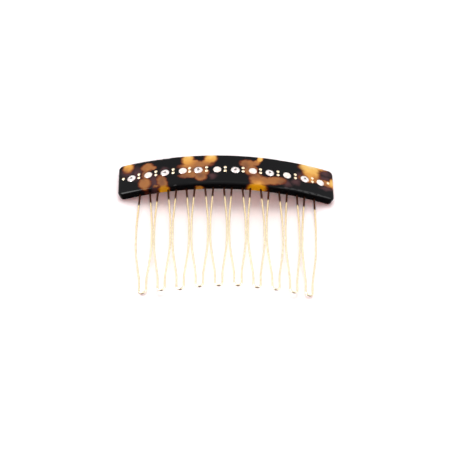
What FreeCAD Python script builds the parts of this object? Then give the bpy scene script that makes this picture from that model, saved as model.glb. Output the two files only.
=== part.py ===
"""Decorative hair comb: a bent cellulose acetate bar with ten sprung hairpin tines.

The comb lies on its back. X runs along the bar, +Y from the tines to the bar's upper edge and
+Z out of the bar's bulging face. The origin is under the middle of the comb, on the surface
that it lies on. Each piece is drawn in a frame of its own, then set upright on the bar, whose
bend is about the Z axis with its face towards -Y, and laid down with the rest at the end.
"""
import FreeCAD, Part
import math
import os
import Sketcher

Vector = FreeCAD.Vector
Rotation = FreeCAD.Rotation
Placement = FreeCAD.Placement

doc = FreeCAD.newDocument("hair_comb")

# ---------------------------------------------------------------- driving dimensions, mm and degrees
SIZES = (
    ("face_radius", 110.0, "bend radius of the bar's outer face"),
    ("bar_arc", 86.5, "length of the bar, along its outer face"),
    ("bar_height", 15.3, "lower edge to upper edge"),
    ("bar_thickness", 3.45, "outer face to inner face"),
    ("corner_round", 2.0, "the bar's four corners, seen from the front"),
    ("front_round", 1.0, "edge all round the outer face"),
    ("back_round", 0.6, "edge all round the inner face"),
    ("jewel_line", 7.45, "row of stones above the lower edge"),
    ("jewel_shift", -0.4, "middle of that row from the middle of the bar, along its outer face"),
    ("stone_pitch", 6.83, "one stone to the next, along the outer face"),
    ("stones_of_a_kind", 6, "faceted stones, and as many pearls between them"),
    ("crystal_diameter", 3.5, "faceted stone"),
    ("crystal_table", 1.8, "flat top of a faceted stone"),
    ("crystal_girdle", 0.35, "widest part of a faceted stone below the bar's face"),
    ("crystal_rise", 0.15, "table above the bar's face"),
    ("pearl_diameter", 3.2, "domed stone"),
    ("pearl_girdle", 0.25, "edge of the dome below the bar's face"),
    ("pearl_rise", 0.25, "top of the dome above the bar's face"),
    ("seat_depth", 1.0, "flat-bottomed seat of a stone"),
    ("glue_gap", 0.05, "between a stone and the wall of its seat"),
    ("pin_diameter", 1.2, "brass pin"),
    ("pin_depth", 2.1, "pin below the bar's face"),
    ("pin_rise", 0.22, "domed head above the bar's face"),
    ("pin_gap", 0.01, "between a pin and its hole"),
    ("pin_line", 7.65, "middle of a pair of pins above the lower edge"),
    ("pair_spacing", 1.75, "upper pin to lower pin of a pair"),
    ("end_pin_arc", 40.9, "single end pin from the middle of the row, along the bar's face"),
    ("tine_count", 10, "hairpin tines"),
    ("tine_pitch", 7.3, "one tine to the next, along the outer face"),
    ("tine_shift", 0.35, "middle of the tines to the right of the middle of the bar"),
    ("wire_diameter", 0.8, "tine wire"),
    ("wire_depth", 2.2, "tine wire's centre behind the bar's outer face"),
    ("wire_embed", 5.8, "wire end inside the bar, above its lower edge"),
    ("tine_length", 46.3, "lower edge of the bar to the outside of the tip"),
    ("leg_exit", 2.0, "leg from the tine's middle, at the bar's lower edge"),
    ("belly_half", 3.12, "leg from the tine's middle, at the belly"),
    ("belly_half_tight", 2.78, "the same on the last two tines, which lean together"),
    ("belly_top", 15.0, "upper corner of the belly below the bar"),
    ("belly_bottom", 27.0, "lower corner of the belly below the bar"),
    ("taper_end", 40.0, "end of the taper below the bar"),
    ("tip_radius", 1.38, "centreline of the U bend at the tip"),
    ("belly_top_bend", 100.0, "bend radius at the belly's upper corner"),
    ("belly_bottom_bend", 62.0, "bend radius at the belly's lower corner"),
    ("taper_end_bend", 22.0, "bend radius at the end of the taper"),
    ("tine_sweep", 4.6, "tines lean back together, away from the bar's face"),
    ("last_tine_lean", 1.8, "last tine leans in towards its neighbour"),
    ("next_tine_lean", 0.4, "the tine that it leans on gives way"),
)
sheet = doc.addObject("Spreadsheet::Sheet", "dims")
for row, (alias, value, meaning) in enumerate(SIZES, start=1):
    sheet.set(f"A{row}", meaning)
    sheet.set(f"B{row}", str(value))
    sheet.setAlias(f"B{row}", alias)
doc.recompute()


def size(alias):
    """Value of a driving dimension."""
    return float(sheet.get(alias))


def evaluate(expression):
    """Value of an expression over the sheet."""
    return float(sheet.evalExpression(expression))


def arc_degrees(length):
    """Angle about the bend's axis of a length along the outer face."""
    return math.degrees(length / size("face_radius"))


def origin_feature(body, role):
    """One of a body's own origin planes or axes."""
    return next(item for item in body.Origin.OriginFeatures if item.Role == role)


def new_sketch(body, name, role):
    """An empty sketch on one of the body's origin planes."""
    sketch = body.newObject("Sketcher::SketchObject", name)
    sketch.AttachmentSupport = (origin_feature(body, role), [""])
    sketch.MapMode = "FlatFace"
    return sketch


def drive(sketch, name, expression, *constraint):
    """Adds a named dimension to a sketch, worked out from the sheet."""
    index = sketch.addConstraint(Sketcher.Constraint(*constraint))
    sketch.renameConstraint(index, name)
    sketch.setExpression(f"Constraints.{name}", expression)


# Sketcher's numbers for the sketch's own axes and for the points of a line, arc or circle.
ROOT, X_AXIS, Y_AXIS = -1, -1, -2
START, END, CENTRE = 1, 2, 3

# ---------------------------------------------------------------- the bar, before its sockets
# A strip bent to one radius: its section turned about the bend's axis, corners and edges rounded.
blank = doc.addObject("PartDesign::Body", "bar_blank")
section = new_sketch(blank, "bar_section", "YZ_Plane")
front = -size("face_radius")
back = front + size("bar_thickness")
top = size("bar_height")
corners = (Vector(front, 0), Vector(back, 0), Vector(back, top), Vector(front, top))
for index, corner in enumerate(corners):
    section.addGeometry(Part.LineSegment(corner, corners[(index + 1) % 4]))
for index in range(4):
    section.addConstraint(Sketcher.Constraint("Coincident", index, END, (index + 1) % 4, START))
section.addConstraint(Sketcher.Constraint("PointOnObject", 0, START, X_AXIS))
section.addConstraint(Sketcher.Constraint("Horizontal", 0))
section.addConstraint(Sketcher.Constraint("Vertical", 1))
section.addConstraint(Sketcher.Constraint("Horizontal", 2))
section.addConstraint(Sketcher.Constraint("Vertical", 3))
drive(section, "face", "dims.face_radius", "DistanceX", 0, START, ROOT, START, -front)
drive(section, "thickness", "dims.bar_thickness", "DistanceX", 0, START, 0, END, back - front)
drive(section, "height", "dims.bar_height", "DistanceY", 1, START, 1, END, top)
strip = blank.newObject("PartDesign::Revolution", "bent_strip")
strip.Profile = section
strip.ReferenceAxis = (section, ["V_Axis"])
strip.Midplane = True
strip.setExpression("Angle", "dims.bar_arc / dims.face_radius * 180 / pi")
doc.recompute()


def edge_names(shape, wanted):
    """Names of the edges of a shape that a test picks out."""
    return [f"Edge{index}" for index, edge in enumerate(shape.Edges, start=1) if wanted(edge)]


def bounds_face(shape, radius):
    """A test for the edges of the bar's cylindrical face of one radius."""
    face = next(
        item
        for item in shape.Faces
        if isinstance(item.Surface, Part.Cylinder) and abs(item.Surface.Radius - radius) < 1e-6
    )
    return lambda edge: any(edge.isSame(other) for other in face.Edges)


def round_edges(body, name, names, expression):
    """Fillets some edges of the body's last feature."""
    feature = body.Tip
    fillet = body.newObject("PartDesign::Fillet", name)
    fillet.Base = (feature, names)
    fillet.setExpression("Radius", expression)
    body.Tip = fillet
    doc.recompute()
    return fillet


def is_end_corner(edge):
    """The short straight edges through the bar's thickness, at its four corners."""
    return isinstance(edge.Curve, Part.Line) and abs(edge.Length - size("bar_thickness")) < 1e-6


last = round_edges(blank, "corners", edge_names(strip.Shape, is_end_corner), "dims.corner_round")
outline = bounds_face(last.Shape, size("face_radius"))
last = round_edges(blank, "front_edge", edge_names(last.Shape, outline), "dims.front_round")
outline = bounds_face(last.Shape, size("face_radius") - size("bar_thickness"))
round_edges(blank, "back_edge", edge_names(last.Shape, outline), "dims.back_round")

# ---------------------------------------------------------------- seats and pin holes in the bar
# Stones and pins are set by eye. Most sit a little off their places in an even row: how far along
# the outer face, and for the single pin at each end how far up as well.
STONES_ALONG = (0.3, 0.3, 0.1, 0.3, -0.5, 0.0, 0.2, 0.2, 0.0, 0.1, 0.5, 0.2)
PAIRS_ALONG = (0.0, 0.0, 0.0, -0.4, -0.65, -0.3, -0.2, -0.25, -0.15, 0.0, 0.2)
END_PINS_OFF = ((0.4, 0.25), (0.15, 0.5))


def in_row(steps, along):
    """Expression of an arc length: whole or half steps from the row's middle, moved along."""
    return f"dims.jewel_shift + ({steps}) * dims.stone_pitch + ({along})"


def drill(name, holes, depth, arc):
    """Drills round holes into the outer face, all at one arc length from the bar's middle.

    holes pairs each hole's height with its diameter. All the measures are expressions.
    """
    before = blank.Tip.Shape.Volume
    sketch = new_sketch(blank, f"{name}_sketch", "XZ_Plane")
    turn = f"(({arc}) / dims.face_radius * 180 / pi)"
    sketch.AttachmentOffset = Placement(Vector(), Rotation(Vector(0, 1, 0), 1.0))
    sketch.setExpression("AttachmentOffset.Base.x", f"dims.face_radius * sin({turn})")
    sketch.setExpression("AttachmentOffset.Base.z", f"dims.face_radius * cos({turn})")
    sketch.setExpression("AttachmentOffset.Rotation.Angle", turn)
    for index, (height, diameter) in enumerate(holes):
        sketch.addGeometry(Part.Circle(Vector(0, evaluate(height)), Vector(0, 0, 1), 0.5))
        sketch.addConstraint(Sketcher.Constraint("PointOnObject", index, CENTRE, Y_AXIS))
        drive(sketch, f"height_{index}", height, "DistanceY", ROOT, START, index, CENTRE, 7.0)
        drive(sketch, f"diameter_{index}", diameter, "Diameter", index, 1.0)
    pocket = blank.newObject("PartDesign::Pocket", name)
    pocket.Profile = sketch
    pocket.setExpression("Length", depth)
    blank.Tip = pocket
    doc.recompute()
    print(f"{name}: {before - pocket.Shape.Volume:.3f} mm3")


stone_count = 2 * int(size("stones_of_a_kind"))
stone_arcs = []
for index in range(stone_count):
    stone_arcs.append(in_row(index - (stone_count - 1) / 2, STONES_ALONG[index]))
pair_arcs = []
for index in range(1, stone_count):
    pair_arcs.append(in_row(index - stone_count / 2, PAIRS_ALONG[index - 1]))
end_pins = []
for side, (along, up) in zip((-1, 1), END_PINS_OFF):
    end_pins.append((f"{in_row(0, along)} + ({side}) * dims.end_pin_arc", f"dims.pin_line + {up}"))

for index, arc in enumerate(stone_arcs):
    kind = ("crystal", "pearl")[index % 2]
    seat = f"dims.{kind}_diameter + 2 * dims.glue_gap"
    drill(f"{kind}_seat_{index // 2 + 1}", [("dims.jewel_line", seat)], "dims.seat_depth", arc)
PIN_HOLE = "dims.pin_diameter + 2 * dims.pin_gap"
UPPER = "dims.pin_line + dims.pair_spacing / 2"
LOWER = "dims.pin_line - dims.pair_spacing / 2"
for index, arc in enumerate(pair_arcs, start=1):
    drill(f"pin_holes_{index}", [(UPPER, PIN_HOLE), (LOWER, PIN_HOLE)], "dims.pin_depth", arc)
for index, (arc, height) in enumerate(end_pins, start=1):
    drill(f"end_pin_hole_{index}", [(height, PIN_HOLE)], "dims.pin_depth", arc)

# ---------------------------------------------------------------- tines
# Each hairpin is one wire. Its half path runs from the U bend's lowest point up one leg: a short
# straight, the taper, the belly and the splayed leg that ends inside the bar. The other half is
# its mirror image. The tine's frame has its middle on Z and the bar's lower edge at height 0.


class Path:
    """A chain of straights and tangent bends in a sketch."""

    def __init__(self, sketch):
        self.sketch = sketch
        self.last = None

    def add(self, geometry, near, far):
        """Adds a line or arc; near is its point that joins the chain, far the one it ends on."""
        index = self.sketch.addGeometry(geometry)
        if self.last is not None:
            self.sketch.addConstraint(Sketcher.Constraint("Tangent", *self.last, index, near))
        self.last = (index, far)
        return index


def bend_between(before, corner, after, radius):
    """Arc of a radius that rounds a corner: its two tangent points and the arc itself."""
    inward = (corner - before).normalize()
    outward = (after - corner).normalize()
    turn = inward.getAngle(outward)
    reach = radius * math.tan(turn / 2)
    first = corner - inward * reach
    second = corner + outward * reach
    left = inward.x * outward.y > inward.y * outward.x
    side = Vector(-inward.y, inward.x) if left else Vector(inward.y, -inward.x)
    centre = first + side * radius
    angles = [math.atan2(point.y - centre.y, point.x - centre.x) for point in (first, second)]
    if not left:
        angles.reverse()
    arc = Part.ArcOfCircle(Part.Circle(centre, Vector(0, 0, 1), radius), *angles)
    return first, second, arc, left


def make_tine(name, belly):
    """A hairpin body; belly is the alias of its half width at the belly."""
    body = doc.addObject("PartDesign::Body", name)
    path = new_sketch(body, f"{name}_path", "XZ_Plane")
    apex = -(size("tine_length") - size("wire_diameter") / 2)
    tip = size("tip_radius")
    taper = Vector(tip, -size("taper_end"))
    low = Vector(size(belly), -size("belly_bottom"))
    high = Vector(size(belly), -size("belly_top"))
    splay = (size(belly) - size("leg_exit")) / size("belly_top")
    leg_end = Vector(size("leg_exit") - splay * size("wire_embed"), size("wire_embed"))
    tip_centre = Vector(0, apex + tip)
    tip_side = Vector(tip, apex + tip)

    taper_start, taper_stop, taper_arc, _ = bend_between(
        tip_side, taper, low, size("taper_end_bend")
    )
    low_start, low_stop, low_arc, _ = bend_between(taper, low, high, size("belly_bottom_bend"))
    high_start, high_stop, high_arc, _ = bend_between(low, high, leg_end, size("belly_top_bend"))
    chain = Path(path)
    tip_bend = chain.add(
        Part.ArcOfCircle(Part.Circle(tip_centre, Vector(0, 0, 1), tip), -math.pi / 2, 0), START, END
    )
    straight = chain.add(Part.LineSegment(tip_side, taper_start), START, END)
    taper_bend = chain.add(taper_arc, END, START)
    slope = chain.add(Part.LineSegment(taper_stop, low_start), START, END)
    low_bend = chain.add(low_arc, START, END)
    side = chain.add(Part.LineSegment(low_stop, high_start), START, END)
    high_bend = chain.add(high_arc, START, END)
    leg = chain.add(Part.LineSegment(high_stop, leg_end), START, END)

    path.addConstraint(Sketcher.Constraint("PointOnObject", tip_bend, START, Y_AXIS))
    path.addConstraint(Sketcher.Constraint("PointOnObject", tip_bend, CENTRE, Y_AXIS))
    path.addConstraint(Sketcher.Constraint("Vertical", straight))
    path.addConstraint(Sketcher.Constraint("Vertical", side))
    drive(path, "tip_radius", "dims.tip_radius", "Radius", tip_bend, tip)
    drive(path, "taper_radius", "dims.taper_end_bend", "Radius", taper_bend, size("taper_end_bend"))
    drive(path, "low_radius", "dims.belly_bottom_bend", "Radius", low_bend, size("belly_bottom_bend"))
    drive(path, "high_radius", "dims.belly_top_bend", "Radius", high_bend, size("belly_top_bend"))
    reach = "dims.tine_length - dims.wire_diameter / 2"
    drive(path, "reach", reach, "DistanceY", tip_bend, START, ROOT, START, -apex)
    drive(path, "belly", f"dims.{belly}", "DistanceX", ROOT, START, side, START, size(belly))
    drive(path, "embed", "dims.wire_embed", "DistanceY", ROOT, START, leg, END, leg_end.y)
    bends = (
        ("taper_end", taper, straight, slope),
        ("belly_bottom", low, slope, side),
        ("belly_top", high, side, leg),
    )
    for alias, corner, one_run, other_run in bends:
        point = path.addGeometry(Part.Point(corner), True)
        path.addConstraint(Sketcher.Constraint("PointOnObject", point, START, one_run))
        path.addConstraint(Sketcher.Constraint("PointOnObject", point, START, other_run))
        drive(path, alias, f"dims.{alias}", "DistanceY", point, START, ROOT, START, -corner.y)
    mouth = path.addGeometry(Part.Point(Vector(size("leg_exit"), 0)), True)
    path.addConstraint(Sketcher.Constraint("PointOnObject", mouth, START, leg))
    path.addConstraint(Sketcher.Constraint("PointOnObject", mouth, START, X_AXIS))
    drive(path, "leg_exit", "dims.leg_exit", "DistanceX", ROOT, START, mouth, START, size("leg_exit"))

    wire = new_sketch(body, f"{name}_wire", "YZ_Plane")
    wire.addGeometry(Part.Circle(Vector(0, apex), Vector(0, 0, 1), size("wire_diameter") / 2))
    wire.addConstraint(Sketcher.Constraint("PointOnObject", 0, CENTRE, Y_AXIS))
    drive(wire, "reach", reach, "DistanceY", 0, CENTRE, ROOT, START, -apex)
    drive(wire, "diameter", "dims.wire_diameter", "Diameter", 0, size("wire_diameter"))
    doc.recompute()

    half = body.newObject("PartDesign::AdditivePipe", f"{name}_half")
    half.Profile = wire
    half.Spine = (path, [f"Edge{index + 1}" for index in range(len(path.Shape.Edges))])
    doc.recompute()
    whole = body.newObject("PartDesign::Mirrored", f"{name}_whole")
    whole.Originals = [half]
    whole.MirrorPlane = (origin_feature(body, "YZ_Plane"), [""])
    body.Tip = whole
    doc.recompute()
    length = 2 * sum(edge.Length for edge in path.Shape.Edges)
    expected = length * math.pi * size("wire_diameter") ** 2 / 4
    print(f"{name}: {length:.2f} mm of wire, volume {whole.Shape.Volume / expected:.5f} of expected")
    return body


def upright(degrees, radius, height):
    """Where a piece stands on the bar: its own -Y turned to face outwards, at a radius and height."""
    turn = Rotation(Vector(0, 0, 1), degrees)
    return Placement(turn.multVec(Vector(0, -radius, height)), turn)


# Set by hand, so most tines stand out of the bar by a slightly different length.
SET_FURTHER_OUT = (0.4, 0.3, 0.7, 0.0, -0.3, -0.5, -0.2, -0.1, 0.0, 0.0)
tine_count = int(size("tine_count"))
leans = {tine_count: size("last_tine_lean"), tine_count - 1: size("next_tine_lean")}
tines = []
places = {}
for number in range(1, tine_count + 1):
    name = f"tine_{number:02d}"
    lean = leans.get(number, 0.0)
    tine = make_tine(name, "belly_half_tight" if lean else "belly_half")
    place = (number - (tine_count + 1) / 2) * size("tine_pitch") + size("tine_shift")
    radius = size("face_radius") - size("wire_depth")
    stand = upright(arc_degrees(place), radius, 0.0)
    sweep = Rotation(Vector(1, 0, 0), size("tine_sweep"))
    turn = sweep * stand.Rotation * Rotation(Vector(0, 1, 0), lean)
    further = turn.multVec(Vector(0, 0, -SET_FURTHER_OUT[number - 1]))
    places[tine] = Placement(stand.Base + further, turn)
    tines.append(tine)

# ---------------------------------------------------------------- stones and pins
# Turned about their own axis, Z outwards, with height 0 at the bar's face.


def turned(name, corners, dome=None):
    """A body turned about Z from a half profile of straight lines and one crowning arc, the dome.

    corners lists radius and height as expressions. Where a dome is given, the last corner is on
    the axis and the line to it becomes an arc that meets the axis squarely.
    """
    body = doc.addObject("PartDesign::Body", name)
    profile = new_sketch(body, f"{name}_profile", "XZ_Plane")
    points = [Vector(*(evaluate(part) for part in corner)) for corner in corners]
    last = len(points) - 1
    for index, point in enumerate(points):
        after = points[(index + 1) % len(points)]
        if dome and index == last - 1:
            radius = evaluate(dome)
            centre = Vector(0, after.y - radius)
            start = math.atan2(point.y - centre.y, point.x)
            circle = Part.Circle(centre, Vector(0, 0, 1), radius)
            profile.addGeometry(Part.ArcOfCircle(circle, start, math.pi / 2))
        else:
            profile.addGeometry(Part.LineSegment(point, after))
    for index in range(len(points)):
        following = (index + 1) % len(points)
        profile.addConstraint(Sketcher.Constraint("Coincident", index, END, following, START))
    for index, (radius, height) in enumerate(corners):
        if radius == "0":
            profile.addConstraint(Sketcher.Constraint("PointOnObject", index, START, Y_AXIS))
        else:
            drive(
                profile, f"radius_{index}", radius, "DistanceX", ROOT, START, index, START,
                points[index].x,
            )
        ends = (ROOT, START, index, START) if points[index].y > 0 else (index, START, ROOT, START)
        upward = height if points[index].y > 0 else f"-({height})"
        if height == "0":
            profile.addConstraint(Sketcher.Constraint("PointOnObject", index, START, X_AXIS))
        else:
            drive(profile, f"height_{index}", upward, "DistanceY", *ends, abs(points[index].y))
    if dome:
        profile.addConstraint(Sketcher.Constraint("PointOnObject", last - 1, CENTRE, Y_AXIS))
    turning = body.newObject("PartDesign::Revolution", f"{name}_turned")
    turning.Profile = profile
    turning.ReferenceAxis = (profile, ["V_Axis"])
    turning.Angle = 360.0
    body.Tip = turning
    doc.recompute()
    return body


def facing_out(arc, height):
    """Where a turned piece sits: its Z outwards through the bar's face, at a place and height."""
    stand = upright(arc_degrees(arc), size("face_radius"), height)
    return stand * Placement(Vector(), Rotation(Vector(1, 0, 0), 90.0))


DOME_RADIUS = "(({half})^2 + ({rise})^2) / (2 * ({rise}))"
crystal_profile = (
    ("0", "-dims.seat_depth"),
    ("dims.crystal_diameter / 2", "-dims.seat_depth"),
    ("dims.crystal_diameter / 2", "-dims.crystal_girdle"),
    ("dims.crystal_table / 2", "dims.crystal_rise"),
    ("0", "dims.crystal_rise"),
)
pearl_profile = (
    ("0", "-dims.seat_depth"),
    ("dims.pearl_diameter / 2", "-dims.seat_depth"),
    ("dims.pearl_diameter / 2", "-dims.pearl_girdle"),
    ("0", "dims.pearl_rise"),
)
pearl_dome = DOME_RADIUS.format(
    half="dims.pearl_diameter / 2",
    rise="dims.pearl_rise + dims.pearl_girdle",
)
pin_profile = (
    ("0", "-dims.pin_depth"),
    ("dims.pin_diameter / 2", "-dims.pin_depth"),
    ("dims.pin_diameter / 2", "0"),
    ("0", "dims.pin_rise"),
)
pin_dome = DOME_RADIUS.format(half="dims.pin_diameter / 2", rise="dims.pin_rise")

jewels = []
for index, arc in enumerate(stone_arcs):
    number = index // 2 + 1
    if index % 2 == 0:
        stone = turned(f"crystal_{number}", crystal_profile)
    else:
        stone = turned(f"pearl_{number}", pearl_profile, pearl_dome)
    places[stone] = facing_out(evaluate(arc), size("jewel_line"))
    jewels.append(stone)

pin_places = [("left_end_pin", *end_pins[0])]
for index, arc in enumerate(pair_arcs, start=1):
    pin_places.append((f"upper_pin_{index:02d}", arc, UPPER))
    pin_places.append((f"lower_pin_{index:02d}", arc, LOWER))
pin_places.append(("right_end_pin", *end_pins[1]))
for name, arc, height in pin_places:
    pin = turned(name, pin_profile, pin_dome)
    places[pin] = facing_out(evaluate(arc), evaluate(height))
    jewels.append(pin)

# ---------------------------------------------------------------- laid down on its back
# The bar's two ends rest on the surface, and the outer tines' tips stop just above it. The tines
# are pressed into the warm bar, so their own legs shape its sockets.
places[blank] = Placement()
for body, place in places.items():
    body.Placement = place
doc.recompute()
tips = [body.Shape.optimalBoundingBox(False) for body in tines]
bar_box = blank.Shape.optimalBoundingBox(False)
rearmost = max(box.YMax for box in [bar_box] + tips)
middle = (bar_box.ZMax + min(box.ZMin for box in tips)) / 2
lie_down = Placement(Vector(0, -middle, rearmost), Rotation(Vector(1, 0, 0), -90.0))
for body, place in places.items():
    body.Placement = lie_down * place
doc.recompute()

legs = doc.addObject("Part::Compound", "embedded_legs")
legs.Links = tines
bar = doc.addObject("Part::Cut", "acetate_bar")
bar.Base = blank
bar.Tool = legs
doc.recompute()

# ---------------------------------------------------------------- checks and files
pieces = [bar] + tines + jewels
for item in doc.Objects:
    if "Invalid" in item.State or "Error" in item.State:
        raise RuntimeError(f"{item.Name} failed: {item.State}")
os.makedirs("parts", exist_ok=True)
for piece in pieces:
    piece.Label = piece.Name
    shape = piece.Shape
    if shape.isNull() or not shape.isValid() or len(shape.Solids) != 1:
        raise RuntimeError(f"{piece.Label} is not one valid solid")
    shape.exportStep(f"parts/{piece.Label}.step")
whole = Part.makeCompound([piece.Shape for piece in pieces]).optimalBoundingBox(False)
print(f"{len(pieces)} pieces, box {whole.XLength:.2f} x {whole.YLength:.2f} x {whole.ZLength:.2f} mm")
print(f"lowest {whole.ZMin:.3f}, middle {whole.Center.x:.3f}, {whole.Center.y:.3f}")
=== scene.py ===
import math

import bmesh
import bpy
from mathutils import Matrix, Vector


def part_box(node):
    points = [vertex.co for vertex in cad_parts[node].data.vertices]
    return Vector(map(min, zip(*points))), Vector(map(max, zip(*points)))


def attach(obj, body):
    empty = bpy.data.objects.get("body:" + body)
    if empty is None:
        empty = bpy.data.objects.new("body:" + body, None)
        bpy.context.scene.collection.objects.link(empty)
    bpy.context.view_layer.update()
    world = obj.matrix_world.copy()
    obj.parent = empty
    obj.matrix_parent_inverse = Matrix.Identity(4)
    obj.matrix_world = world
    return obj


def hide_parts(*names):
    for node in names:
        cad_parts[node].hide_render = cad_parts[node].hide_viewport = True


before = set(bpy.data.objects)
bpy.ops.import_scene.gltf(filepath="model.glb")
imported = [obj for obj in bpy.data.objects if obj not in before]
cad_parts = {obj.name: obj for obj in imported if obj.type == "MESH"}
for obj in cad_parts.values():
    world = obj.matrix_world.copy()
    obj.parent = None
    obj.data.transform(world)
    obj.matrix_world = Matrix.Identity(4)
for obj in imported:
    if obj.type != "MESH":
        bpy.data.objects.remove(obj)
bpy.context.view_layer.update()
MM = 0.001

# ---------------------------------------------------------------- camera, floor and lights
# The comb lies on a white table in a pale room. A broad soft light stands above and behind it, a weak
# rose one in front fills the bar's shadow, and two side cards only show in the gloss. The camera looks
# down at the bar's face from the side of the tines, a little from the left and a little tilted.
AZIMUTH = math.radians(-3.25)
ELEVATION = math.radians(49.05)
TILT = math.radians(3.79)
DISTANCE = 713.5 * MM
LENS = 149.3
AIM = Vector((-0.275, 0.226, 4.472)) * MM

backwards = Vector(
    (
        math.sin(AZIMUTH) * math.cos(ELEVATION),
        -math.cos(AZIMUTH) * math.cos(ELEVATION),
        math.sin(ELEVATION),
    )
)
camera = bpy.data.objects.new("camera", bpy.data.cameras.new("camera"))
camera.data.lens = LENS
camera.data.clip_start = 0.01
camera.data.clip_end = 10.0
camera.rotation_mode = "QUATERNION"
camera.location = AIM + backwards * DISTANCE
level = (-backwards).to_track_quat("-Z", "Y")
camera.rotation_quaternion = level @ Matrix.Rotation(TILT, 3, "Z").to_quaternion()
bpy.context.scene.collection.objects.link(camera)
bpy.context.scene.camera = camera
bpy.context.scene.view_settings.view_transform = "Standard"


class Shade:
    """A socket in a node tree. Arithmetic on it adds Math nodes; add() makes any other node."""

    def __init__(self, tree, socket=None):
        self.tree = tree
        self.socket = socket

    def add(self, kind, settings=None, inputs=None, output=0):
        """A new node's output. settings are set first, inputs are values or links by socket."""
        node = self.tree.nodes.new(kind)
        for name, value in (settings or {}).items():
            if name == "stops":
                ramp = node.color_ramp.elements
                while len(ramp) < len(value):
                    ramp.new(1.0)
                for element, (position, colour) in zip(ramp, value):
                    element.position = position
                    element.color = colour
            else:
                setattr(node, name, value)
        for name, value in (inputs or {}).items():
            if isinstance(value, Shade):
                self.tree.links.new(value.socket, node.inputs[name])
            else:
                node.inputs[name].default_value = value
        return Shade(self.tree, node.outputs[output])

    def maths(self, operation, first, second=0.0, third=0.0):
        inputs = {0: first, 1: second, 2: third}
        return self.add("ShaderNodeMath", {"operation": operation}, inputs)

    def __add__(self, other):
        return self.maths("ADD", self, other)

    def __sub__(self, other):
        return self.maths("SUBTRACT", self, other)

    def __mul__(self, other):
        return self.maths("MULTIPLY", self, other)

    def __truediv__(self, other):
        return self.maths("DIVIDE", self, other)

    def __radd__(self, other):
        return self.maths("ADD", other, self)

    def __rsub__(self, other):
        return self.maths("SUBTRACT", other, self)

    def __rmul__(self, other):
        return self.maths("MULTIPLY", other, self)

    def step(self, low, high):
        """0 below low and 1 above high, with a smooth change between; low may be the larger."""
        settings = {"interpolation_type": "SMOOTHSTEP"}
        return self.add("ShaderNodeMapRange", settings, {0: self, 1: low, 2: high})

    def paint(self, under, over):
        """Colour under where this is 0 and over where it is 1."""
        settings = {"data_type": "RGBA"}
        return self.add("ShaderNodeMix", settings, {0: self, 6: under, 7: over}, output=2)


def rgb(red, green, blue):
    """A colour given as a screen shows it, 0 to 255, as the linear colour that shaders take."""
    linear = [
        part / 12.92 if part <= 0.04045 else ((part + 0.055) / 1.055) ** 2.4
        for part in (red / 255, green / 255, blue / 255)
    ]
    return (*linear, 1.0)


def new_material(name, **constants):
    """A material with one Principled shader, and the Shade that its nodes grow from."""
    made = bpy.data.materials.new(name)
    made.use_nodes = True
    surface = made.node_tree.nodes["Principled BSDF"]
    for socket, value in constants.items():
        surface.inputs[socket.replace("_", " ")].default_value = value
    return made, surface, Shade(made.node_tree)


def feed(surface, socket, shade):
    """Links a Shade to one of the Principled shader's sockets."""
    shade.tree.links.new(shade.socket, surface.inputs[socket])


FLOOR_SIZE = 16.0
floor_mesh = bpy.data.meshes.new("floor")
shape = bmesh.new()
bmesh.ops.create_grid(shape, x_segments=1, y_segments=1, size=FLOOR_SIZE / 2)
shape.to_mesh(floor_mesh)
shape.free()
floor = bpy.data.objects.new("floor", floor_mesh)
bpy.context.scene.collection.objects.link(floor)
floor_finish, floor_surface, _ = new_material("white_table", Roughness=0.9)
floor_surface.inputs["Base Color"].default_value = (0.93, 0.93, 0.93, 1.0)
floor_surface.inputs["Specular IOR Level"].default_value = 0.0
floor_mesh.materials.append(floor_finish)

ROOM_LIGHT = (0.76, 0.765, 0.79, 1.0)
room = bpy.data.worlds.new("room")
room.use_nodes = True
room.node_tree.nodes["Background"].inputs["Color"].default_value = ROOM_LIGHT
bpy.context.scene.world = room


def far_light(name, azimuth, elevation, spread, colour, strength, in_gloss):
    """A far broad light. azimuth and elevation say where it stands, spread how wide it looks.

    It shows either as a reflection only, where in_gloss is true, or lights matt surfaces only.
    """
    lamp = bpy.data.lights.new(name, "SUN")
    lamp.angle = math.radians(spread)
    lamp.color = colour
    lamp.energy = strength
    turn, rise = math.radians(azimuth), math.radians(elevation)
    towards = Vector(
        (math.sin(turn) * math.cos(rise), -math.cos(turn) * math.cos(rise), math.sin(rise))
    )
    light = bpy.data.objects.new(name, lamp)
    light.rotation_mode = "QUATERNION"
    light.rotation_quaternion = towards.to_track_quat("Z", "Y")
    light.visible_diffuse = not in_gloss
    light.visible_glossy = in_gloss
    bpy.context.scene.collection.objects.link(light)


far_light("overhead_softbox", 180, 68, 42, (1.0, 1.0, 1.0), 1.75, False)
far_light("overhead_shine", 180, 62, 24, (1.0, 0.97, 0.92), 0.12, True)
far_light("rose_fill", -3, 49, 25, (1.0, 0.2, 0.16), 0.75, False)


def side_card(name, place, width, length, power):
    """A card light beside the comb, seen only as a reflection; its length runs front to back."""
    lamp = bpy.data.lights.new(name, "AREA")
    lamp.shape = "RECTANGLE"
    lamp.size = width
    lamp.size_y = length
    lamp.energy = power
    light = bpy.data.objects.new(name, lamp)
    light.location = place
    light.rotation_mode = "QUATERNION"
    light.rotation_quaternion = Vector(place).to_track_quat("Z", "X")
    light.visible_diffuse = False
    light.visible_camera = False
    bpy.context.scene.collection.objects.link(light)


side_card("left_card", (-0.62, -0.22, 0.72), 0.35, 1.0, 10.0)
side_card("right_card", (0.62, -0.22, 0.72), 0.35, 1.0, 4.0)

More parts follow.
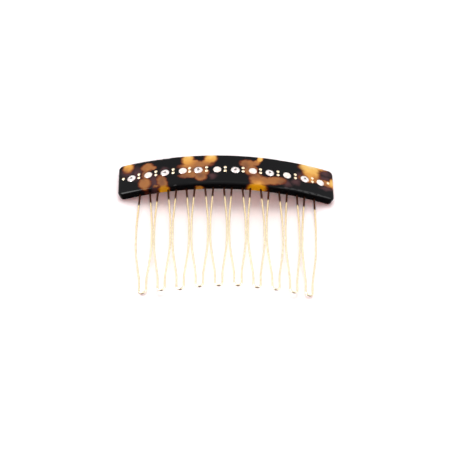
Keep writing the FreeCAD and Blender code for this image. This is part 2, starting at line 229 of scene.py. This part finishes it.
# ---------------------------------------------------------------- the bar
# A strip sawn from a block of tortoiseshell acetate, bent hot to one curve, tumbled to round its
# edges and polished to a deep gloss. Honey-coloured chips run through black, with red-brown edges
# where the two bled together in the press. Painted light makes them lighter where light comes in
# from the top, and saturated yellow on the underside.
FACE_RADIUS = 110.0
bar_low, bar_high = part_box("acetate_bar")
bend_axis = bar_high.z / MM - FACE_RADIUS

BLACK = rgb(6, 6, 7)
PLUM = rgb(78, 52, 54)
RUST = rgb(88, 34, 16)
HONEY_TONES = (
    (0.0, rgb(146, 98, 55)),
    (0.25, rgb(172, 118, 58)),
    (0.45, rgb(202, 150, 70)),
    (0.65, rgb(214, 178, 96)),
    (0.85, rgb(216, 200, 152)),
)
# Painted light: the saturated yellow of the chips on the underside, where light passes through.
HONEY_LIT_UNDERSIDE = rgb(196, 142, 14)
CLOUD_BROWN = rgb(96, 64, 48)

# Honey chips: place along the bar, height and depth of the middle, then half sizes along, up and
# into the bar, and a turn in degrees. All in mm from the bar's middle, lower edge and face.
CHIPS = (
    (-39.0, 13.0, 1.0, 2.3, 2.8, 6.0, 0),
    (-31.2, 11.2, 1.0, 2.6, 2.1, 6.0, 0),
    (-31.0, 12.3, 1.0, 1.3, 1.4, 6.0, 0),
    (-29.2, 10.7, 1.0, 1.8, 0.9, 6.0, -10),
    (-32.0, 7.6, 1.0, 1.4, 2.6, 6.0, 0),
    (-32.1, 3.2, 1.0, 2.5, 2.9, 6.0, 20),
    (-25.2, 2.6, 1.0, 1.9, 3.7, 6.0, 18),
    (-24.7, -0.3, 2.0, 2.3, 1.4, 3.0, 0),
    (-27.6, 0.9, 1.0, 1.3, 0.7, 2.0, 0),
    (-15.2, 12.8, 1.0, 2.5, 3.1, 6.0, 0),
    (-6.3, 13.1, 1.0, 2.6, 2.4, 6.0, 15),
    (-7.9, 11.1, 1.0, 3.0, 1.7, 6.0, 35),
    (-12.4, 11.3, 1.0, 2.6, 1.2, 6.0, -20),
    (-12.2, 9.9, 1.0, 6.5, 1.9, 6.0, 3),
    (-12.6, 11.4, 1.0, 2.2, 1.2, 6.0, 0),
    (-12.6, 7.2, 1.0, 4.4, 2.4, 6.0, 0),
    (-14.7, 4.7, 1.0, 4.0, 1.3, 6.0, 0),
    (-10.2, 3.6, 1.0, 2.4, 2.1, 6.0, -15),
    (-9.6, 6.0, 1.0, 2.6, 1.8, 6.0, 0),
    (-11.0, -0.2, 2.4, 1.9, 0.8, 1.3, 0),
    (8.4, 11.2, 1.0, 3.5, 1.7, 6.0, 0),
    (7.0, 10.6, 1.0, 1.9, 2.0, 6.0, 0),
    (11.2, 11.6, 1.0, 1.8, 1.3, 6.0, 20),
    (12.9, 14.0, 1.0, 1.1, 2.2, 6.0, -25),
    (9.2, 7.8, 1.0, 2.7, 3.0, 6.0, 0),
    (11.5, 2.9, 1.0, 2.9, 3.4, 6.0, 10),
    (14.4, 2.7, 1.0, 3.0, 2.2, 6.0, 0),
    (18.4, 3.4, 1.0, 4.8, 2.1, 6.0, 12),
    (11.7, -0.3, 1.8, 4.0, 1.5, 3.5, 0),
    (33.0, 13.4, 1.0, 4.5, 2.9, 6.0, 0),
    (33.6, 10.4, 1.0, 3.7, 2.9, 6.0, 0),
    (32.0, 7.6, 1.0, 3.7, 1.8, 6.0, 0),
    (38.6, 7.9, 1.0, 5.2, 1.3, 6.0, 3),
    (42.6, 8.4, 1.0, 1.4, 2.8, 6.0, 0),
    (38.0, 14.6, 1.0, 2.6, 1.0, 6.0, 0),
    (40.6, 6.9, 1.0, 2.6, 1.1, 6.0, 0),
)
# Thin smoke of the same colours at the edges of the chips, in the same terms.
SMOKE = (
    (-38.9, 11.0, 1.0, 3.6, 4.0, 6.0, 0),
    (-35.2, 9.0, 1.0, 2.4, 4.6, 6.0, 0),
    (-28.2, 3.2, 1.0, 2.6, 5.6, 6.0, 12),
    (-24.4, 8.6, 1.0, 2.2, 2.0, 6.0, 0),
    (-5.6, 3.8, 1.0, 1.7, 2.0, 6.0, -30),
    (27.2, 4.6, 1.0, 2.4, 2.2, 6.0, 20),
    (23.5, 3.0, 1.0, 2.2, 2.4, 6.0, 0),
    (29.0, 8.0, 1.0, 2.6, 2.6, 6.0, 0),
    (39.6, 13.2, 1.0, 3.6, 2.8, 6.0, 0),
    (39.4, 9.6, 1.0, 4.0, 2.0, 6.0, 0),
    (40.0, 4.8, 1.0, 3.6, 1.4, 6.0, 0),
)
# Cloudy brown where a chip lies a little deeper in the black.
CLOUDY = (
    (-16.6, 4.0, 0.0, 4.4, 2.4, 6.0, 0),
    (-10.4, 4.6, 0.0, 3.0, 2.2, 6.0, 0),
    (-12.6, 7.6, 0.0, 5.0, 1.8, 6.0, 0),
    (-32.6, 7.8, 0.0, 2.2, 3.2, 6.0, 0),
    (-28.4, 0.6, 0.0, 2.4, 3.0, 6.0, 0),
    (-25.4, 2.8, 0.0, 2.4, 4.4, 6.0, 12),
    (-6.8, 9.2, 0.0, 2.6, 2.0, 6.0, 0),
    (7.0, 9.6, 0.0, 2.6, 4.4, 6.0, 0),
    (10.4, 5.0, 0.0, 3.2, 1.8, 6.0, 0),
    (29.4, 7.8, 0.0, 2.6, 2.4, 6.0, 0),
    (21.4, 3.4, 0.0, 2.6, 2.6, 6.0, 0),
    (-41.0, 10.6, 0.0, 2.2, 2.4, 6.0, 0),
    (37.8, 10.4, 0.0, 2.0, 2.0, 6.0, 0),
    (41.0, 5.6, 0.0, 3.4, 1.4, 6.0, 0),
    (39.6, 14.0, 0.0, 2.6, 1.8, 6.0, 0),
    (-11.0, 0.0, 2.2, 2.6, 1.0, 2.0, 0),
)
# Painted light, where light that comes in at the edges lights the chips from inside; a middle off
# the face is dimmer.
LIT = (
    (-15.2, 16.6, 0.0, 5.0, 8.4, 7.0, 0),
    (-6.2, 16.6, 0.0, 5.0, 8.4, 7.0, 0),
    (12.9, 16.2, 0.0, 3.0, 6.0, 7.0, 0),
    (32.4, 16.4, 0.0, 10.0, 11.5, 7.0, 0),
    (-38.6, 15.4, -2.4, 4.4, 6.0, 7.0, 0),
    (12.0, -1.6, -2.0, 5.0, 5.0, 7.0, 0),
    (42.6, 8.5, -2.0, 3.6, 3.0, 7.0, 0),
)


def millimetres(shade):
    """The object's coordinates in mm, as one vector and as its three parts."""
    place = shade.add("ShaderNodeTexCoord", output=3)
    in_mm = shade.add("ShaderNodeVectorMath", {"operation": "SCALE"}, {0: place, 3: 1 / MM})
    split = shade.add("ShaderNodeSeparateXYZ", None, {0: in_mm}).socket.node
    return in_mm, [Shade(shade.tree, output) for output in split.outputs]


acetate, acetate_surface, shade = new_material(
    "tortoiseshell_acetate_polished",
    Roughness=0.5,
    Specular_IOR_Level=0.0,
    Coat_Roughness=0.05,
    Coat_IOR=1.26,
)
_, (across, along_y, up_z) = millimetres(shade)
out_z = up_z - bend_axis
turn_round = shade.maths("ARCTAN2", across, out_z)
from_axis = shade.maths("SQRT", across * across + out_z * out_z)
arc = turn_round * FACE_RADIUS
height = along_y - bar_low.y / MM
depth = FACE_RADIUS - from_axis
unrolled = shade.add("ShaderNodeCombineXYZ", None, {0: arc, 1: height, 2: depth})


def wobble(shade, vector, scale, amount, detail):
    """A vector pushed about by noise, so that outlines drawn with it wander."""
    inputs = {"Vector": vector, "Scale": scale, "Detail": detail}
    noise = shade.add("ShaderNodeTexNoise", None, inputs, 1)
    centred = shade.add("ShaderNodeVectorMath", {"operation": "SUBTRACT"}, {0: noise, 1: (0.5, 0.5, 0.5)})
    inputs = {0: centred, 1: (amount, amount, amount), 2: vector}
    return shade.add("ShaderNodeVectorMath", {"operation": "MULTIPLY_ADD"}, inputs)


def blobs(shade, vector, rows, softness):
    """1 in the middle of any blob of the list, 0 at its edge, and less outside; they run together."""
    field = None
    for along, up, into, half_along, half_up, half_into, turn in rows:
        inputs = {
            "Vector": vector,
            "Location": (along, up, into),
            "Rotation": (0.0, 0.0, math.radians(turn)),
            "Scale": (half_along, half_up, half_into),
        }
        local = shade.add("ShaderNodeMapping", {"vector_type": "TEXTURE"}, inputs)
        far = shade.add("ShaderNodeVectorMath", {"operation": "LENGTH"}, {0: local}, 1)
        near = 1.0 - far
        field = near if field is None else shade.maths("SMOOTH_MAX", field, near, softness)
    return field


wandering = wobble(shade, unrolled, 0.75, 1.35, 4.0)
loose = wobble(shade, unrolled, 0.35, 2.2, 2.0)
honey = blobs(shade, wandering, CHIPS, 0.2)
smoke = blobs(shade, loose, SMOKE, 0.3)
cloudy = blobs(shade, loose, CLOUDY, 0.3)
lit = blobs(shade, loose, LIT, 0.2)

cloud = shade.add("ShaderNodeTexNoise", None, {"Vector": unrolled, "Scale": 0.4, "Detail": 3.0})
# Painted light from the LIT blobs, with cloud noise for the chips' uneven tone, picks the honey tone.
glow = lit.maths("MAXIMUM", lit, 0.0) + (cloud - 0.5) * 0.35
tone = shade.add("ShaderNodeValToRGB", {"stops": HONEY_TONES}, {0: glow})
# Painted light: the chips turn saturated yellow on the lower edge.
tone = height.step(1.1, 0.2).paint(tone, HONEY_LIT_UNDERSIDE)
tone = (cloudy.step(-0.1, 0.9) * 0.7).paint(tone, CLOUD_BROWN)
colour = (smoke.step(-0.2, 0.9) * 0.8).paint(BLACK, PLUM)
colour = honey.step(-0.25, 0.06).paint(colour, RUST)
colour = honey.step(-0.12, 0.36).paint(colour, tone)
feed(acetate_surface, "Base Color", colour)
feed(acetate_surface, "Coat Weight", height.step(-0.02, 0.5) * 0.94 + 0.06)
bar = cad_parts["acetate_bar"]
bar.data.materials[0] = acetate
bar.material_slots[0].link = "DATA"

# ---------------------------------------------------------------- tines
# Ten hairpins of hard gold-plated wire. Their splayed legs are pushed hot into the bar's lower
# edge. Over the first few millimetres below the bar the plating is painted dark brown, a painted
# reflection of the dark bar, and the rims of the tips carry painted shade in brown.
BAR_REFLECTION_LENGTH = 4.6
# The painted reflection reaches a little further on the outer tines, by this much for each square mm from
# the middle.
BAR_REFLECTION_FURTHER = 0.0007
# The painted shade at a tip: its middle from the tip's lowest point, and its half sizes, in mm.
TIP_SHADE_MIDDLE = Vector((0.0, -0.05, -0.3))
TIP_SHADE_HALF_SIZES = (1.3, 0.55, 0.75)
gilt, gilt_surface, shade = new_material("pale_gold_plate", Metallic=0.85)
in_mm, (across, along_y, _) = millimetres(shade)
below = bar_low.y / MM - along_y
streaks = shade.add("ShaderNodeTexNoise", None, {"Vector": in_mm, "Scale": 0.7, "Detail": 3.0})
# Positive where the painted reflection of the dark bar falls on the wire.
bar_reflection = BAR_REFLECTION_LENGTH + across * across * BAR_REFLECTION_FURTHER + (streaks - 0.5) * 0.8 - below
# Painted shade: the gold is deeper near the bar and paler further from it.
colour = below.step(6.0, 24.0).paint(rgb(246, 224, 182), rgb(252, 243, 214))
colour = (streaks.step(0.35, 0.75) * 0.25).paint(colour, rgb(228, 204, 146))
# Painted reflection of the dark bar: dark brown on the wire just below it.
colour = bar_reflection.step(-0.4, 0.4).paint(colour, rgb(74, 38, 22))
tines = [node for name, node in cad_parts.items() if name.startswith("tine_")]
# Painted shade on the rim of each tip, placed from the tip's lowest point.
tip_shades = []
for tine in tines:
    lowest = min((vertex.co for vertex in tine.data.vertices), key=lambda point: point.y) / MM
    tip_shades.append((*(lowest + TIP_SHADE_MIDDLE), *TIP_SHADE_HALF_SIZES, 0))
# Painted shade: brown on the rim of each tip.
colour = blobs(shade, in_mm, tip_shades, 0.0).step(-0.1, 0.25).paint(colour, rgb(84, 52, 42))
feed(gilt_surface, "Base Color", colour)
feed(gilt_surface, "Roughness", streaks * 0.14 + 0.16)
for tine in tines:
    tine.data.materials[0] = gilt

# ---------------------------------------------------------------- crystals
# Six machine-cut glass stones with a silver foil behind them, glued into drilled seats. Under the
# clear table the foil's facets meet in a small star. Each facet's flash is a painted reflection in its
# colour: dark in the star, white round it on the crown.
CRYSTAL_RADIUS = 1.75
TABLE_RADIUS = 0.95
CRYSTAL_RISE = 0.15
CRYSTAL_GIRDLE = -0.35
SEAT_FLOOR = -1.0
FOIL_INSET = 0.36
FOIL_DEPTH = 0.12
STAR_DEPTH = 0.1
STAR_LIFT = 0.12
# Painted reflection: how bright each facet is painted, from 0 dark to 1 white.
CROWN_FLASH = (1.0, 0.9, 0.97, 0.8, 1.0, 0.93)
FOIL_FLASH = (1.0, 0.72, 0.96, 0.5, 1.0, 0.84, 0.9)
STAR_FLASH = (0.0, 0.3, 0.0, 0.6, 0.05)
# Each stone was glued in as it fell, so the cuts point every way.
CRYSTAL_TURNS = (0, 31, 12, 40, 8, 23)


def on_bar(node):
    """Takes a stone's own mm, with z out of the bar's face, to where it sits in the frame."""
    points = [vertex.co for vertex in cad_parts[node].data.vertices]
    middle = sum(points, Vector()) / len(points) / MM
    turn = math.atan2(middle.x, middle.z - bend_axis)
    foot = Vector((math.sin(turn), 0.0, math.cos(turn))) * FACE_RADIUS
    foot += Vector((0.0, middle.y, bend_axis))
    return Matrix.Scale(MM, 4) @ Matrix.Translation(foot) @ Matrix.Rotation(turn, 4, "Y")


def cut_crystal(turn, first):
    """A round stone with an eight-sided table, in its own frame.

    Each facet takes its flash, a painted reflection, from a list; first shifts the lists, so that no two
    stones match.
    """
    shape = bmesh.new()
    flash = shape.faces.layers.float.new("flash")
    spin = Matrix.Rotation(math.radians(turn), 4, "Z")
    high = Matrix.Translation((0.0, 0.0, CRYSTAL_RISE)) @ spin
    low = Matrix.Translation((0.0, 0.0, CRYSTAL_GIRDLE)) @ spin
    bmesh.ops.create_circle(shape, segments=8, radius=TABLE_RADIUS, matrix=high)
    table = list(shape.edges)
    bmesh.ops.create_circle(shape, segments=16, radius=CRYSTAL_RADIUS, matrix=low)
    girdle = [edge for edge in shape.edges if edge not in table]
    crown = bmesh.ops.bridge_loops(shape, edges=table + girdle)["faces"]
    for index, face in enumerate(crown):
        face[flash] = CROWN_FLASH[(index + first) % len(CROWN_FLASH)]

    window = bmesh.ops.contextual_create(shape, geom=table)["faces"]
    rim = bmesh.ops.inset_region(
        shape, faces=window, thickness=FOIL_INSET, depth=-FOIL_DEPTH, use_even_offset=True
    )["faces"]
    for index, face in enumerate(rim):
        face[flash] = FOIL_FLASH[(index + first) % len(FOIL_FLASH)]
    star = bmesh.ops.poke(shape, faces=window, offset=-STAR_DEPTH)
    for index, face in enumerate(star["faces"]):
        face[flash] = STAR_FLASH[(index + first) % len(STAR_FLASH)]
    star["verts"][0].co.y += STAR_LIFT

    wall = bmesh.ops.extrude_edge_only(shape, edges=girdle)["geom"]
    foot = [item for item in wall if isinstance(item, bmesh.types.BMVert)]
    bmesh.ops.translate(shape, verts=foot, vec=(0.0, 0.0, SEAT_FLOOR - CRYSTAL_GIRDLE))
    rim = [edge for edge in shape.edges if edge.is_boundary]
    bmesh.ops.contextual_create(shape, geom=rim)
    bmesh.ops.recalc_face_normals(shape, faces=shape.faces)
    return shape


crystal, crystal_surface, shade = new_material(
    "foiled_crystal", Metallic=0.15, Roughness=0.12, Coat_Weight=1.0, Coat_Roughness=0.02
)
# Painted reflection: each facet's flash paints it dark or white.
flash = shade.add("ShaderNodeAttribute", {"attribute_name": "flash"}, output=2)
feed(crystal_surface, "Base Color", flash.paint(rgb(26, 20, 22), rgb(250, 248, 244)))

for number, turn in enumerate(CRYSTAL_TURNS, start=1):
    shape = cut_crystal(turn, number)
    bmesh.ops.transform(shape, matrix=on_bar(f"crystal_{number}"), verts=shape.verts)
    mesh = bpy.data.meshes.new(f"cut_crystal_{number}")
    shape.to_mesh(mesh)
    shape.free()
    mesh.materials.append(crystal)
    piece = bpy.data.objects.new(f"cut_crystal_{number}", mesh)
    bpy.context.scene.collection.objects.link(piece)
    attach(piece, "root")
    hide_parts(f"crystal_{number}")

# ---------------------------------------------------------------- pearls
# Six low domes of white pearl, glued into drilled seats between the crystals. The coating is
# warm white with faint cream clouds, under a clear gloss.
pearl, pearl_surface, shade = new_material(
    "white_pearl", Roughness=0.3, Coat_Weight=1.0, Coat_Roughness=0.05
)
in_mm, _ = millimetres(shade)
cloud = shade.add("ShaderNodeTexNoise", None, {"Vector": in_mm, "Scale": 0.9, "Detail": 2.0})
colour = cloud.step(0.35, 0.65).paint(rgb(230, 222, 211), rgb(241, 237, 229))
feed(pearl_surface, "Base Color", colour)
for name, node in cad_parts.items():
    if name.startswith("pearl_"):
        node.data.materials[0] = pearl

# ---------------------------------------------------------------- pins
# Short brass rods driven into drilled holes, in pairs between the stones and one at each end.
# Their domed heads are polished pale, with hairline scratches from the buffing wheel.
brass, brass_surface, shade = new_material("polished_pale_brass", Metallic=0.75)
in_mm, _ = millimetres(shade)
inputs = {"Vector": in_mm, "Scale": 2.6, "Detail": 3.0, "Distortion": 1.5}
scratches = shade.add("ShaderNodeTexNoise", None, inputs)
colour = scratches.step(0.3, 0.7).paint(rgb(250, 226, 184), rgb(255, 240, 208))
feed(brass_surface, "Base Color", colour)
feed(brass_surface, "Roughness", scratches * 0.3 + 0.18)
for name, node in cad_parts.items():
    if name.endswith("_pin") or "_pin_" in name:
        node.data.materials[0] = brass
